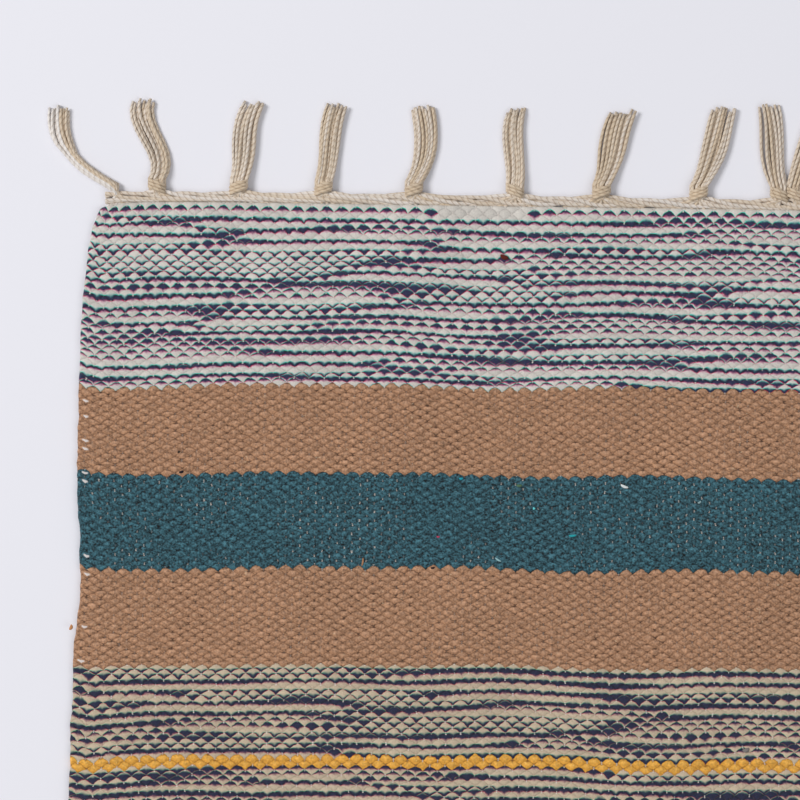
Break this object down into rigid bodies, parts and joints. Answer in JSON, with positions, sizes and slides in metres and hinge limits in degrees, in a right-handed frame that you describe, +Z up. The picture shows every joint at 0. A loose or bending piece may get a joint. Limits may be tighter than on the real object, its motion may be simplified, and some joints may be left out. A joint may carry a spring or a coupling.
{
  "type": "kilim rug",
  "caption": "Flat-woven cotton kilim lying flat, with cross stripes in tan, teal, gold and navy mixed with ivory or beige, and knotted warp tassels along both ends.",
  "frame": {"origin": "middle of the cloth's underside, on the floor", "axes": "+X along the weft stripes, +Y along the warp towards the fringed end that the picture shows, +Z up out of the cloth"},
  "size_m": [0.6179, 0.9867, 0.0046],
  "materials": {
    "striped_cotton": "matt ribbed weft-faced cotton, the mean of its stripes",
    "ivory_navy_weft": "matt ribbed cotton, ivory and navy yarns laid together",
    "beige_navy_weft": "matt ribbed cotton, beige and navy yarns laid together",
    "tan_weft": "matt ribbed cotton, tan with darker tips",
    "teal_weft": "matt ribbed cotton, dark teal with lighter flecks",
    "gold_weft": "matt ribbed cotton, gold",
    "warp_cotton": "matt plied undyed cotton"
  },
  "bodies": {
    "root": {"cloth": "striped_cotton", "tassel_far_00": "warp_cotton", "tassel_far_01": "warp_cotton", "tassel_far_02": "warp_cotton", "tassel_far_03": "warp_cotton", "tassel_far_04": "warp_cotton", "tassel_far_05": "warp_cotton", "tassel_far_06": "warp_cotton", "tassel_far_07": "warp_cotton", "tassel_far_08": "warp_cotton", "tassel_far_09": "warp_cotton", "tassel_far_10": "warp_cotton", "tassel_far_11": "warp_cotton", "tassel_far_12": "warp_cotton", "tassel_far_13": "warp_cotton", "tassel_far_14": "warp_cotton", "tassel_far_15": "warp_cotton", "tassel_far_16": "warp_cotton", "tassel_far_17": "warp_cotton", "tassel_far_18": "warp_cotton", "tassel_near_00": "warp_cotton", "tassel_near_01": "warp_cotton", "tassel_near_02": "warp_cotton", "tassel_near_03": "warp_cotton", "tassel_near_04": "warp_cotton", "tassel_near_05": "warp_cotton", "tassel_near_06": "warp_cotton", "tassel_near_07": "warp_cotton", "tassel_near_08": "warp_cotton", "tassel_near_09": "warp_cotton", "tassel_near_10": "warp_cotton", "tassel_near_11": "warp_cotton", "tassel_near_12": "warp_cotton", "tassel_near_13": "warp_cotton", "tassel_near_14": "warp_cotton", "tassel_near_15": "warp_cotton", "tassel_near_16": "warp_cotton", "tassel_near_17": "warp_cotton"}
  },
  "joints": []
}
